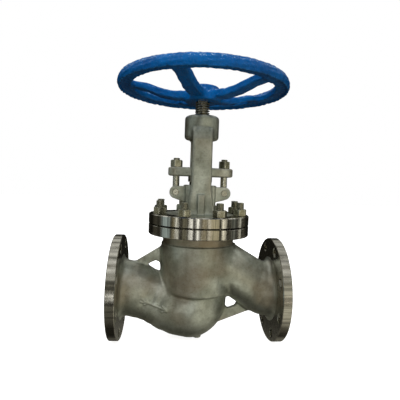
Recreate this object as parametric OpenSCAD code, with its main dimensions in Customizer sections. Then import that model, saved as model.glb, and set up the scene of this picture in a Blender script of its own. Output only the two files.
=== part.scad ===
// Flanged globe valve with an outside screw and yoke, a bolted bonnet and a handwheel.
// Origin: centre of the inlet flange's bolt face. +X is the flow, +Z is up the stem. Millimetres.

/* [Ends] */
// Length over the two raised faces
face_to_face = 350; // [348:1:354]
// Outside diameter of the end flanges
flange_d = 215; // [210:1:220]
// Thickness of the end flanges, without the raised face
flange_t = 18; // [16:1:20]
// Bolt circle of the end flanges
flange_pcd = 180; // [176:1:184]
// Holes in each end flange
flange_holes = 8; // [4, 8]
// Diameter of each flange hole
flange_hole_d = 18; // [14:1:19]
// Diameter of the raised face
face_d = 156; // [150:1:158]
// Height of the raised face
face_h = 2; // [1:0.5:3]
// Bore of the two ports
port_d = 100; // [90:1:102]

/* [Body] */
// Outer radius of the round chamber over the seat
chamber_r = 76.5; // [76:0.5:78]
// Bottom of the round chamber
chamber_z = -4; // [-6:1:-2]
// Radius of the bowl under the seat
bowl_r = 64.5; // [63:0.5:66]
// Height of the chamber's floor
floor_z = 28; // [27:1:30]
// Bore of the seat
seat_bore_d = 96; // [92:1:98]
// Thickness of the two stiffening webs
web_t = 10; // [8:1:12]

/* [Bonnet joint] */
// Outside diameter of the bonnet joint's flanges
bonnet_d = 208; // [204:1:212]
// Top of the body's upper flange
joint_z = 135; // [134:1:136]
// Thickness of each of the two flanges
bonnet_t = 20; // [18:1:21]
// Gap that shows between the two flanges
joint_gap = 1.5; // [1:0.5:2]
// Bolt circle of the bonnet
bonnet_pcd = 175; // [173:1:177]
// Number of bonnet studs
stud_count = 8; // [6, 8]
// Diameter of a bonnet stud
stud_d = 16; // [14:1:16]
// Width across the flats of a bonnet nut
nut_flats = 24; // [22:1:25]
// Height of a bonnet nut
nut_h = 14; // [12:1:15]

/* [Yoke] */
// Half width of a yoke arm
arm_half_w = 20.5; // [19:0.5:22]
// Distance of an arm's inner face from the stem's axis
arm_in = 28.5; // [28:0.5:30]
// Distance of an arm's outer face from the stem's axis
arm_out = 41.5; // [40:0.5:42]
// Radius of the boss over the yoke
boss_r = 35.5; // [35:0.5:37]
// Bottom of the boss
boss_z = 311; // [309:1:313]
// Top of the boss
boss_top_z = 358; // [357:1:359]

/* [Gland] */
// Radius of the stuffing box's wall
box_r = 34; // [32:0.5:35]
// Top of the stuffing box
box_top_z = 216; // [214:1:218]
// Distance of an eyebolt from the stem's axis
eye_x = 50; // [49:0.5:51]
// Height of the eyebolts' pivots
eye_z = 200.5; // [200:0.5:202]
// Diameter of an eyebolt
eyebolt_d = 14; // [12:1:14]
// Bottom of the gland flange
gland_z = 235.5; // [235:0.5:237]
// Thickness of the gland flange
gland_t = 16.5; // [15:0.5:17]
// Number of packing rings
ring_count = 4; // [3:1:4]

/* [Stem and disc] */
// Diameter of the stem
stem_d = 28; // [26:1:28]
// Radius of the disc
disc_r = 55; // [54:0.5:57]

/* [Handwheel] */
// Outside diameter of the rim
wheel_d = 350; // [340:1:352]
// Bottom of the rim
rim_z = 408; // [406:1:410]
// Height of the rim
rim_h = 24; // [22:1:26]
// Radial width of the rim
rim_w = 29; // [27:1:31]
// Number of spokes
spoke_count = 5; // [3:1:6]
// Width of a spoke
spoke_w = 27; // [22:1:30]
// Turn of the first spoke from straight ahead
spoke_turn = -22; // [-36:1:36]

/* [Hidden] */
$fn = 96;
eps = 0.5;
fit = 0.1;                                   // clearance round studs, screws and nuts
running = 0.05;                              // clearance round the stem where it runs
stem_x = face_to_face / 2 - face_h;          // the stem's axis, from the bolt face
half_x = face_to_face / 2;
back_x = half_x - face_h - flange_t;         // back of an end flange, from the stem's axis
bowl_x = -2;
bowl_z = -38;
neck_r = 57;                                 // outer radius of a neck at its flange
chamber_bore_r = 64;
body_neck_r = 74.5;
body_neck_z = 97;                            // bottom of the neck under the bonnet joint
under_z = joint_z - bonnet_t;                // underside of the body's upper flange
bonnet_z = joint_z + joint_gap;              // underside of the bonnet's flange
bonnet_top_z = bonnet_z + bonnet_t;
recess_r = 79;
recess_z = joint_z - 4;
gasket_t = 3;
stem_r = stem_d / 2;
run_r = stem_r + running;
slack_r = stem_r + 0.5;
packing_r = 22;
packing_z = 171;
ring_h = 8;
bush_z = 146;
bush_top_z = 162;
washer_z = packing_z - 3;
follower_z = packing_z + ring_count * ring_h;
seat_z = floor_z + 3;                        // the seat, where the disc closes
head_z = seat_z + 25;                        // bottom of the stem's head, inside the disc
head_h = 8;
cover_z = head_z + head_h + fit;
hub_z = 387;
hub_top_z = 418;
hub_mid_z = 402;
tang_w = 19.5;                               // square end of the stem in the hub
tang_top_z = 405;
wheel_nut_d = 20;
rim_r = wheel_d / 2;

// A straight cylinder or cone in the plane of the stem and the pipe, from p to q.
// It is turned about its own axis, which keeps its seam out of that plane.
module strut(p, q, r1, r2, turn = 40) {
    run = q - p;
    translate([p[0], 0, p[1]]) rotate([0, atan2(run[0], run[1]), 0]) rotate(turn)
        cylinder(h = norm(run), r1 = r1, r2 = r2);
}

// An upright cylinder on the stem's axis, from z to z + h.
module drum(z, h, r, turn = 65) translate([0, 0, z]) rotate(turn) cylinder(h = h, r = r);

// A ball turned in flats, like a lathe's roughing cuts.
module ball(p, r, cuts = 9) translate([p[0], 0, p[1]]) rotate_extrude()
    polygon([for (i = [0 : cuts]) let (a = 180 / cuts * i - 90) [r * cos(a), r * sin(a)]]);

// A plate of the given outline, standing in the plane of the stem and the pipe.
module upright(thick) translate([0, thick / 2, 0]) rotate([90, 0, 0]) linear_extrude(thick) children();

module ring(z, h, r_out, r_in) translate([0, 0, z]) difference() {
    cylinder(h = h, r = r_out);
    translate([0, 0, -eps]) cylinder(h = h + 2 * eps, r = r_in);
}

// Copies round the stem's axis, straddling the pipe's axis.
module round_stem(count, r) for (i = [0 : count - 1])
    rotate(360 / count * (i + 0.5)) translate([r, 0, 0]) children();

module hex_nut(z, h, flats, bore_d) difference() {
    translate([0, 0, z]) cylinder(h = h, r = flats / sqrt(3), $fn = 6);
    translate([0, 0, z - eps]) cylinder(h = h + 2 * eps, r = bore_d / 2 + fit);
}

// One end flange with its raised face and hub taper; side is -1 for the inlet, 1 for the outlet.
module end_flange(side) rotate([0, 90 * side, 0]) {
    translate([0, 0, back_x]) cylinder(h = flange_t, d = flange_d);
    translate([0, 0, back_x]) cylinder(h = flange_t + face_h, d = face_d);
    translate([0, 0, back_x - 20]) cylinder(h = 20 + eps, r1 = neck_r - 4, r2 = neck_r + 11);
}

module end_flange_holes(side) rotate([0, 90 * side, 0]) round_stem(flange_holes, flange_pcd / 2)
    translate([0, 0, back_x - 20]) cylinder(h = flange_t + 40, d = flange_hole_d);

// The web between the inlet neck and the chamber, with its window.
module inlet_web() upright(web_t) difference() {
    polygon([[-133, 40], [-130, 54], [-70, 86.5], [-70, 10], [-100, 10]]);
    polygon([[-101, 44], [-87, 52.4], [-80, 51], [-77, 46], [-77, 34], [-84, 36], [-92, 38.6]]);
}

// The web between the bowl and the outlet neck, with its window.
module outlet_web() upright(web_t) difference() {
    polygon([[40, -74.5], [116, -46], [120, -20], [70, -5], [40, -30]]);
    polygon([[62, -31], [67, -19.5], [73, -19], [86, -29], [83, -34], [69, -42], [63, -40]]);
}

module body_outside() {
    for (side = [-1, 1]) end_flange(side);
    strut([-160, 0], [-128, 0], neck_r - 0.8, neck_r - 0.8);
    strut([-140, 1], [-104, -13], neck_r - 2.5, neck_r - 4);
    strut([-112, -11], [bowl_x, bowl_z], neck_r - 5, bowl_r - 2.5);
    ball([bowl_x, bowl_z], bowl_r);
    drum(bowl_z, chamber_z - bowl_z + 8, bowl_r - 4, 50);
    strut([20, 73], [134, 4.6], neck_r - 7, neck_r - 7);
    strut([112, 0], [136, 0], neck_r - 9, neck_r - 2);
    strut([132, 0], [160, 0], neck_r - 0.8, neck_r - 0.8);
    drum(chamber_z, body_neck_z - chamber_z, chamber_r);
    drum(body_neck_z - eps, under_z - body_neck_z + 1, body_neck_r);
    drum(under_z, bonnet_t, bonnet_d / 2);
    drum(-104.5, 10, 12);
    inlet_web();
    outlet_web();
}

module body_passages() {
    strut([-half_x - 1, 0], [-134, 0], port_d / 2, port_d / 2);
    strut([-138, 0.5], [-96, -20], port_d / 2 - 1, 45);
    strut([-108, -17.2], [bowl_x, bowl_z], 43, 43.5);
    ball([bowl_x, bowl_z], bowl_r - 6.5);
    drum(floor_z - 2, joint_z - floor_z + 3, chamber_bore_r, 70);
    strut([40, 61], [134, 4.6], 41, 41);
    strut([120, 0], [142, 0], 39, port_d / 2 - 1);
    strut([141, 0], [half_x + 1, 0], port_d / 2, port_d / 2);
    drum(recess_z, joint_z, recess_r + fit);
    for (side = [-1, 1]) end_flange_holes(side);
    round_stem(stud_count, bonnet_pcd / 2) translate([0, 0, under_z + 2])
        cylinder(h = bonnet_t, d = stud_d);
}

// The wall that carries the seat and keeps its two sides apart, before the seat is bored.
module seat_deck() {
    drum(0, floor_z, seat_bore_d / 2 + 10, 80);
    drum(floor_z - 12, 8, chamber_bore_r + 4, 30);
}

module seat_bore() {
    drum(bowl_z + 10, floor_z - bowl_z, seat_bore_d / 2, 55);
    drum(floor_z - 9, 20, seat_bore_d / 2 + 6, 35);
}

// The cast body: two flanged necks, the bowl under the seat and the chamber over it.
module body() color([0.52, 0.50, 0.43]) translate([stem_x, 0, 0]) difference() {
    union() {
        difference() {
            body_outside();
            body_passages();
        }
        seat_deck();
    }
    seat_bore();
}

module seat_ring() color("silver") translate([stem_x, 0, 0]) rotate_extrude() polygon([
    [seat_bore_d / 2, floor_z - 9], [seat_bore_d / 2 + 6, floor_z - 9],
    [seat_bore_d / 2 + 6, seat_z - 1], [seat_bore_d / 2 + 5, seat_z],
    [seat_bore_d / 2 + 2, seat_z], [seat_bore_d / 2, seat_z - 2]]);

module bonnet_gasket() color([0.15, 0.15, 0.15]) translate([stem_x, 0, 0])
    ring(recess_z, gasket_t, recess_r, chamber_bore_r);

// One side plate of the yoke, seen from the front, with its foot spreading to the flange.
module arm_outline() polygon([
    [-arm_half_w - 10, bonnet_top_z - eps], [arm_half_w + 10, bonnet_top_z - eps],
    [arm_half_w + 8, 166], [arm_half_w + 4.5, 180], [arm_half_w, 212], [arm_half_w, 345],
    [-arm_half_w, 345], [-arm_half_w, 212], [-arm_half_w - 4.5, 180], [-arm_half_w - 8, 166]]);

// The arms seen from the side: upright, then leaning in to the boss.
module arm_profile() polygon([
    [arm_in, bonnet_top_z - 1], [arm_out + 3, bonnet_top_z - 1], [arm_out, 168],
    [arm_out, boss_z + 1], [boss_r + 1, 338], [boss_r - 3, 345], [20, 345], [20, boss_z],
    [arm_in, boss_z - 6]]);

module yoke_arm(side) intersection() {
    upright(120) arm_outline();
    scale([1, side, 1]) rotate([90, 0, 90]) translate([0, 0, -50]) linear_extrude(100) arm_profile();
}

// The pair of plates that holds one eyebolt; side is -1 or 1.
module clevis(side) for (face = [-1, 1]) translate([0, face * 11.5, 0]) difference() {
    union() {
        upright(7) polygon([
            [side * 26, 179.5], [side * 49, 185], [side * 58, 190.5], [side * eye_x, 213.5], [side * 26, 213.5]]);
        translate([side * eye_x, 3.5, eye_z]) rotate([90, 0, 0]) cylinder(h = 7, r = 13.2);
    }
    translate([side * eye_x, 5, eye_z]) rotate([90, 0, 0]) cylinder(h = 10, r = 6.05);
}

module bonnet_outside() {
    translate([0, 0, bonnet_z]) cylinder(h = bonnet_t, d = bonnet_d);
    translate([0, 0, recess_z + gasket_t]) cylinder(h = 6, r = recess_r);
    translate([0, 0, bonnet_top_z - 1]) cylinder(h = 13, r1 = box_r + 9, r2 = box_r - 0.5);
    translate([0, 0, bonnet_top_z - 1]) cylinder(h = box_top_z - bonnet_top_z + 1, r = box_r);
    for (side = [-1, 1]) {
        yoke_arm(side);
        clevis(side);
        translate([-6.5, side > 0 ? 30 : -50, bonnet_top_z - 1]) cube([13, 20, 198 - bonnet_top_z]);
    }
    translate([0, 0, boss_z]) cylinder(h = 5, r1 = boss_r - 5, r2 = boss_r);
    translate([0, 0, boss_z + 5]) cylinder(h = boss_top_z - boss_z - 9, r = boss_r);
    translate([0, 0, boss_top_z - 4]) cylinder(h = 4, r1 = boss_r, r2 = boss_r - 4);
}

module bonnet_bores() {
    translate([0, 0, joint_z - 2]) cylinder(h = bush_z - joint_z + 2, r1 = 60, r2 = 34);
    translate([0, 0, bush_z - 1]) cylinder(h = bush_top_z - bush_z + 1, r = packing_r);
    translate([0, 0, bush_top_z - 1]) cylinder(h = 10, r = stem_r + 1);
    translate([0, 0, washer_z]) cylinder(h = box_top_z - washer_z + 1, r = packing_r);
    translate([0, 0, boss_z - 1]) cylinder(h = boss_top_z - boss_z + 2, r = 20);
    translate([22, 0, boss_top_z - 12]) cylinder(h = 13, r = 4);
    round_stem(stud_count, bonnet_pcd / 2) translate([0, 0, bonnet_z - 1])
        cylinder(h = bonnet_t + 2, d = stud_d + 2);
}

// The bonnet and its yoke, one casting.
module bonnet() color([0.55, 0.53, 0.46]) translate([stem_x, 0, 0]) difference() {
    bonnet_outside();
    bonnet_bores();
}

module bonnet_studs() color([0.45, 0.45, 0.38]) translate([stem_x, 0, 0])
    round_stem(stud_count, bonnet_pcd / 2) translate([0, 0, under_z + 3]) {
        cylinder(h = 64, r = stud_d / 2 - fit);
        translate([0, 0, 64]) cylinder(h = 1.5, r1 = stud_d / 2 - fit, r2 = stud_d / 2 - 1.5);
    }

module bonnet_nuts() color([0.42, 0.42, 0.34]) translate([stem_x, 0, 0])
    round_stem(stud_count, bonnet_pcd / 2) hex_nut(bonnet_top_z, nut_h, nut_flats, stud_d);

module back_seat_bush() color("silver") translate([stem_x, 0, 0]) rotate_extrude() polygon([
    [slack_r + 3, bush_z], [packing_r, bush_z], [packing_r, bush_top_z - 1],
    [slack_r, bush_top_z - 1], [slack_r, bush_z + 3]]);

module packing_washer() color("silver") translate([stem_x, 0, 0])
    ring(washer_z, packing_z - washer_z, packing_r - fit, slack_r);

module packing_rings() color([0.12, 0.12, 0.12]) translate([stem_x, 0, 0])
    for (i = [0 : ring_count - 1]) ring(packing_z + i * ring_h, ring_h - fit, packing_r - fit, run_r);

module gland_follower() color([0.6, 0.6, 0.55]) translate([stem_x, 0, 0]) {
    ring(follower_z, 20, packing_r - fit, slack_r);
    ring(follower_z + 20, gland_z - follower_z - 20, packing_r + 3, slack_r);
}

// Outline of the gland flange: a broad middle that narrows to two round ends.
gland_mid_r = 26.5;
gland_end_r = 17;
gland_lean = asin((gland_mid_r - gland_end_r) / eye_x);
function arc(cx, r, a1, a2) = [for (i = [0 : 12]) let (a = a1 + (a2 - a1) * i / 12) [cx + r * cos(a), r * sin(a)]];
gland_edge = concat(
    arc(eye_x, gland_end_r, gland_lean - 90, 90 - gland_lean), arc(0, gland_mid_r, 90 - gland_lean, 90 + gland_lean),
    arc(-eye_x, gland_end_r, 90 + gland_lean, 270 - gland_lean), arc(0, gland_mid_r, 270 - gland_lean, 270 + gland_lean));

module gland_flange() color([0.5, 0.49, 0.4]) translate([stem_x, 0, gland_z]) difference() {
    linear_extrude(gland_t) polygon(gland_edge);
    translate([0, 0, -eps]) cylinder(h = gland_t + 1, r = slack_r + 0.5);
    for (side = [-1, 1]) {
        translate([side * eye_x, 0, -eps]) cylinder(h = gland_t + 1, r = eyebolt_d / 2 + 0.6);
        translate([side > 0 ? eye_x : -eye_x - 30, -eyebolt_d / 2 - 0.6, -eps])
            cube([30, eyebolt_d + 1.2, gland_t + 1]);
    }
}

module eyebolt(side) color([0.4, 0.4, 0.36]) translate([stem_x + side * eye_x, 0, 0]) difference() {
    union() {
        translate([0, 7, eye_z]) rotate([90, 0, 0]) cylinder(h = 14, r = 12);
        translate([0, 0, eye_z]) cylinder(h = 69, r = eyebolt_d / 2);
        translate([0, 0, eye_z + 69]) cylinder(h = 1.5, r1 = eyebolt_d / 2, r2 = eyebolt_d / 2 - 1.5);
    }
    translate([0, 10, eye_z]) rotate([90, 0, 0]) cylinder(h = 20, r = 6.05);
}

module eyebolt_pin(side) color([0.5, 0.5, 0.42]) translate([stem_x + side * eye_x, 16, eye_z])
    rotate([90, 0, 0]) cylinder(h = 32, r = 6);

module gland_nut(side) color([0.42, 0.42, 0.34]) translate([stem_x + side * eye_x, 0, 0])
    hex_nut(gland_z + gland_t, 15, 22, eyebolt_d);

module yoke_nut() color([0.7, 0.6, 0.35]) translate([stem_x, 0, 0]) difference() {
    ring(boss_z, boss_top_z + 2 - boss_z, 20 - fit, run_r);
    translate([22, 0, boss_top_z - 12]) cylinder(h = 20, r = 4);
}

module yoke_nut_screw() color("silver") translate([stem_x + 22, 0, boss_top_z - 12])
    cylinder(h = 13, r = 4 - fit);

// The stem: a head held in the disc, the shank, the screw and the square end for the wheel.
module stem() color([0.6, 0.58, 0.45]) translate([stem_x, 0, 0]) {
    translate([0, 0, head_z]) cylinder(h = head_h, r = 17);
    translate([0, 0, head_z + head_h - eps]) cylinder(h = hub_z - head_z - head_h + eps, r = stem_r);
    translate([-tang_w / 2, -tang_w / 2, hub_z - eps]) cube([tang_w, tang_w, tang_top_z - hub_z + eps]);
    translate([0, 0, tang_top_z - eps]) cylinder(h = hub_top_z + 1 - tang_top_z, d = wheel_nut_d - 2 * fit);
}

module disc() color("silver") translate([stem_x, 0, 0]) rotate_extrude() polygon([
    [0, seat_z - 8], [40, seat_z - 8], [seat_bore_d / 2 - 1, seat_z - 2], [seat_bore_d / 2 - 1, seat_z],
    [disc_r - 2, seat_z], [disc_r, seat_z + 2], [disc_r, seat_z + 14], [30, seat_z + 20],
    [30, cover_z], [17 + fit, cover_z], [17 + fit, head_z - fit], [0, head_z - fit]]);

module disc_cover() color("silver") translate([stem_x, 0, 0]) ring(cover_z, 12, 28, run_r);

// Section of the rim: round on top and outside, cut flat below.
module rim_section() polygon([
    [rim_r - 3.5, rim_z], [rim_r, rim_z + 8], [rim_r - 1, rim_z + 15], [rim_r - 5, rim_z + 21],
    [rim_r - 11, rim_z + rim_h], [rim_r - 19, rim_z + rim_h], [rim_r - 26, rim_z + 20],
    [rim_r - rim_w, rim_z + 13], [rim_r - rim_w + 1, rim_z + 6], [rim_r - 14, rim_z + 4]]);

// A spoke seen from the side: it leaves the hub low, then sweeps up to the rim.
module spoke_profile() polygon([
    [22, 391], [60, 391], [90, 396], [120, 407], [rim_r - 27, rim_z + 5], [rim_r - 20, rim_z + 5],
    [rim_r - 20, rim_z + 19], [rim_r - 27, rim_z + 19], [115, 423], [88, 413], [60, 408], [22, 410]]);

module handwheel() color([0.0, 0.35, 0.68]) translate([stem_x, 0, 0]) difference() {
    union() {
        rotate_extrude() rim_section();
        for (i = [0 : spoke_count - 1]) rotate(spoke_turn - 90 + 360 / spoke_count * i)
            upright(spoke_w) spoke_profile();
        translate([0, 0, hub_z]) cylinder(h = hub_mid_z - hub_z, r = 38);
        translate([0, 0, hub_mid_z - eps]) cylinder(h = hub_top_z - hub_mid_z + eps, r = 31);
    }
    translate([-tang_w / 2, -tang_w / 2, hub_z - 1]) cube([tang_w, tang_w, 60]);
    translate([0, 0, tang_top_z - 2]) cylinder(h = 30, r = 20);
}

module wheel_washer() color("silver") translate([stem_x, 0, 0])
    ring(tang_top_z - 2, 2 - fit, 18, tang_w * 0.72);

module wheel_nut() color([0.42, 0.42, 0.34]) translate([stem_x, 0, 0])
    hex_nut(tang_top_z, 12, 30, wheel_nut_d);

body();
seat_ring();
bonnet_gasket();
bonnet();
bonnet_studs();
bonnet_nuts();
back_seat_bush();
packing_washer();
packing_rings();
gland_follower();
gland_flange();
eyebolt(-1);  // eyebolt_left
eyebolt(1);  // eyebolt_right
eyebolt_pin(-1);  // eyebolt_pin_left
eyebolt_pin(1);  // eyebolt_pin_right
gland_nut(-1);  // gland_nut_left
gland_nut(1);  // gland_nut_right
yoke_nut();
yoke_nut_screw();
stem();
disc();
disc_cover();
handwheel();
wheel_washer();
wheel_nut();
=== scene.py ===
"""Looks of the flanged globe valve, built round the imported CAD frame.

Shapes are worked out in millimetres from the stem's axis (x along the pipe, z up the stem) and turned into
metres in the row frame when a piece is made. Castings are smooth blended fields turned into meshes; machined
parts are turned or cut with crisp edges.
"""
import math

import bpy
import numpy as np
from mathutils import Matrix, Vector


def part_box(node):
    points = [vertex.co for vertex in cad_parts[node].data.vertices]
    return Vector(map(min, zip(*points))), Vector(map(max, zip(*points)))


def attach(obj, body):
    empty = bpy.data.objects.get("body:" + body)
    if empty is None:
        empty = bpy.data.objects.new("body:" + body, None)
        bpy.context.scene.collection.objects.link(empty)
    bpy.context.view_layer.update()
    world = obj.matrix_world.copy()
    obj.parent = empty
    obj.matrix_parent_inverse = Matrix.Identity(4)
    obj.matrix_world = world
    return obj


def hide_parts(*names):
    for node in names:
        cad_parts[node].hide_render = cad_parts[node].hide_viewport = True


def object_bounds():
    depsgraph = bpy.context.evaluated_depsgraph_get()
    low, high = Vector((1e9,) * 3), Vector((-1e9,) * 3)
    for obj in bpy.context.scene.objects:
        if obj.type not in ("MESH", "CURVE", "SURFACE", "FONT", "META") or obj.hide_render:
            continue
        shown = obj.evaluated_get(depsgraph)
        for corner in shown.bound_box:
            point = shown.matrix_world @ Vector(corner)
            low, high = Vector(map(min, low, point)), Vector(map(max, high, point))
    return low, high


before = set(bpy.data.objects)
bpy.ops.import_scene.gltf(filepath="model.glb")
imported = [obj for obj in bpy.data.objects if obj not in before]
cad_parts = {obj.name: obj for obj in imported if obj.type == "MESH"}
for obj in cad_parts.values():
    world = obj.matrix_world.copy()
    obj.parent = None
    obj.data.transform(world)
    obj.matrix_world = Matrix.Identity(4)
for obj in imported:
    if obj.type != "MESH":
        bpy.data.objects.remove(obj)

CAD_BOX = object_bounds()
MM = 0.001
low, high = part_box("stem")
STEM_X = (low.x + high.x) / 2 / MM
FLANGE_R = 107.5                   # end flanges
BONNET_R = 104.0                   # round flanges of the bonnet joint
HALF_X = 175.0                     # half the length over the raised faces
FACE_X = 173.0                     # bolt face
BACK_X = 155.0                     # back of an end flange
JOINT_Z = 135.0                    # top of the body's upper flange
GAP = 1.5                          # gap that shows at the bonnet joint
BONNET_TOP = JOINT_Z + GAP + 20.0  # top of the bonnet's flange
STUD_CIRCLE_R = 87.5               # the eight bonnet studs stand on this circle
EYEBOLT_X = 50.0                   # the eyebolts stand this far left and right of the stem
PIN_Z = 200.5                      # the pins the eyebolts hang on
PIN_HOLE_R = 6.05


# ---------------------------------------------------------------- materials

class Material:
    """A node material under construction, with short calls for the nodes it uses."""

    def __init__(self, name):
        self.material = bpy.data.materials.new(name)
        self.material.use_nodes = True
        self.tree = self.material.node_tree
        self.tree.nodes.clear()
        self.shader = self.node("ShaderNodeBsdfPrincipled")
        output = self.node("ShaderNodeOutputMaterial")
        self.link(self.shader.outputs[0], output.inputs[0])
        self.place = self.node("ShaderNodeTexCoord").outputs["Object"]

    def node(self, kind, **settings):
        node = self.tree.nodes.new(kind)
        for key, value in settings.items():
            setattr(node, key, value)
        return node

    def link(self, a, b):
        self.tree.links.new(a, b)

    def fixed(self, **values):
        for key, value in values.items():
            self.shader.inputs[key.replace("_", " ")].default_value = value

    def noise(self, scale, detail=3.0, rough=0.55, stretch=None):
        """Noise of the given scale per metre, from 0 to 1."""
        node = self.node("ShaderNodeTexNoise")
        node.inputs["Scale"].default_value = scale
        node.inputs["Detail"].default_value = detail
        node.inputs["Roughness"].default_value = rough
        source = self.place
        if stretch:
            mapping = self.node("ShaderNodeMapping")
            mapping.inputs["Scale"].default_value = stretch
            self.link(source, mapping.inputs["Vector"])
            source = mapping.outputs[0]
        self.link(source, node.inputs["Vector"])
        return node.outputs["Fac"]

    def ramp(self, source, stops, smooth=False):
        """A colour ramp; a stop is (place, grey) or (place, (r, g, b))."""
        node = self.node("ShaderNodeValToRGB")
        if smooth:
            node.color_ramp.interpolation = "EASE"
        elements = node.color_ramp.elements
        while len(elements) < len(stops):
            elements.new(0.5)
        for element, (place, value) in zip(elements, stops):
            element.position = place
            rgb = value if isinstance(value, tuple) else (value,) * 3
            element.color = (*rgb, 1.0)
        self.link(source, node.inputs[0])
        return node.outputs[0]

    def mix(self, kind, fac, a, b):
        node = self.node("ShaderNodeMix", data_type="RGBA", blend_type=kind)
        for socket, value in (("Factor", fac), ("A", a), ("B", b)):
            target = next(i for i in node.inputs if i.name == socket and i.type in ("RGBA", "VALUE")
                          and (socket == "Factor") == (i.type == "VALUE"))
            if isinstance(value, bpy.types.NodeSocket):
                self.link(value, target)
            elif isinstance(value, tuple):
                target.default_value = (*value, 1.0)
            else:
                target.default_value = value
        return next(o for o in node.outputs if o.type == "RGBA")

    def bump(self, height, strength, distance, after=None):
        node = self.node("ShaderNodeBump")
        node.inputs["Strength"].default_value = strength
        node.inputs["Distance"].default_value = distance
        self.link(height, node.inputs["Height"])
        if after is not None:
            self.link(after, node.inputs["Normal"])
        return node.outputs[0]

    def finish(self, colour, rough, normal):
        self.link(colour, self.shader.inputs["Base Color"])
        self.link(rough, self.shader.inputs["Roughness"])
        self.link(normal, self.shader.inputs["Normal"])
        return self.material


def cast_steel():
    """Shot-blasted stainless casting: fine grain, brown heat tint, dull clouds and lighter edges."""
    m = Material("cast_steel")
    clouds = m.noise(26.0, 5.0, 0.62)
    tint = m.noise(9.0, 2.0)
    grain = m.noise(900.0, 2.0, 0.6)
    pits = m.noise(260.0, 3.0, 0.7)
    colour = m.ramp(clouds, [(0.32, (0.28, 0.295, 0.24)), (0.50, (0.46, 0.485, 0.41)),
                             (0.68, (0.70, 0.74, 0.66))])
    brown = m.ramp(tint, [(0.48, 0.0), (0.68, 0.6)], smooth=True)
    colour = m.mix("MIX", brown, colour, (0.30, 0.235, 0.165))
    height = m.node("ShaderNodeSeparateXYZ")
    m.link(m.place, height.inputs[0])
    level = m.node("ShaderNodeMath", operation="MULTIPLY")
    level.inputs[1].default_value = 5.0
    m.link(height.outputs["Z"], level.inputs[0])
    heat = m.ramp(level.outputs[0], [(0.484, 0.0), (0.492, 0.6), (0.57, 0.6), (0.59, 0.0)])
    colour = m.mix("MIX", heat, colour, (0.34, 0.26, 0.165))
    dark = m.ramp(pits, [(0.30, 0.72), (0.48, 1.0)])
    colour = m.mix("MULTIPLY", 0.8, colour, dark)
    edge = m.ramp(m.node("ShaderNodeNewGeometry").outputs["Pointiness"], [(0.50, 0.0), (0.56, 0.5)])
    colour = m.mix("MIX", edge, colour, (0.55, 0.54, 0.47))
    rough = m.ramp(clouds, [(0.3, 0.42), (0.7, 0.31)])
    normal = m.bump(pits, 0.22, 0.0007)
    normal = m.bump(grain, 0.45, 0.00025, normal)
    m.fixed(Metallic=0.82)
    return m.finish(colour, rough, normal)


def turned_steel(name, axis, colour_a, colour_b, rough_a, rough_b, painted_groove_shade=False):
    """Machined steel with fine tool marks that run round the given axis, dark streaks along the axis that are
    partly painted reflection bands and partly smear, and, when asked, painted shade darkening the hollows of
    grooves.
    """
    m = Material(name)
    stretch = {"x": (1.0, 0.02, 0.02), "z": (0.02, 0.02, 1.0)}[axis]
    marks = m.noise(2600.0, 2.0, 0.6, stretch)
    clouds = m.noise(22.0, 3.0)
    smear = m.noise(60.0, 3.0, 0.6, (1.0, 1.0, 0.3))
    colour = m.ramp(clouds, [(0.3, colour_a), (0.7, colour_b)])
    if painted_groove_shade:
        # Painted shade: the hollows of grooves, such as thread roots, found by pointiness, are darkened.
        edge = m.node("ShaderNodeNewGeometry").outputs["Pointiness"]
        colour = m.mix("MULTIPLY", 1.0, colour, m.ramp(edge, [(0.44, 0.12), (0.52, 1.0)]))
    # Painted reflection, partly tone: dark streaks along the axis stand in for reflected bands and also for
    # smear in the finish.
    along = {"x": (0.03, 1.0, 1.0), "z": (1.0, 1.0, 0.03)}[axis]
    painted_reflection_streaks = m.noise(150.0, 2.0, 0.6, along)
    colour = m.mix("MULTIPLY", 0.75, colour, m.ramp(painted_reflection_streaks, [(0.40, 0.35), (0.52, 1.0), (0.62, 0.8)]))
    rough = m.ramp(smear, [(0.3, rough_a), (0.7, rough_b)])
    normal = m.bump(marks, 0.12, 0.0001)
    m.fixed(Metallic=1.0)
    return m.finish(colour, rough, normal)


def bolting():
    """Dull stainless bolting, olive where the oil has dried, brighter on the edges."""
    m = Material("bolting")
    clouds = m.noise(70.0, 3.0)
    scuffs = m.noise(420.0, 4.0, 0.7)
    colour = m.ramp(clouds, [(0.3, (0.20, 0.195, 0.13)), (0.55, (0.36, 0.35, 0.26)),
                             (0.75, (0.50, 0.48, 0.40))])
    edge = m.ramp(m.node("ShaderNodeNewGeometry").outputs["Pointiness"], [(0.51, 0.0), (0.60, 0.8)])
    colour = m.mix("MIX", edge, colour, (0.66, 0.65, 0.56))
    rough = m.ramp(scuffs, [(0.3, 0.16), (0.7, 0.32)])
    normal = m.bump(scuffs, 0.18, 0.0003)
    m.fixed(Metallic=0.95)
    return m.finish(colour, rough, normal)


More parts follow.
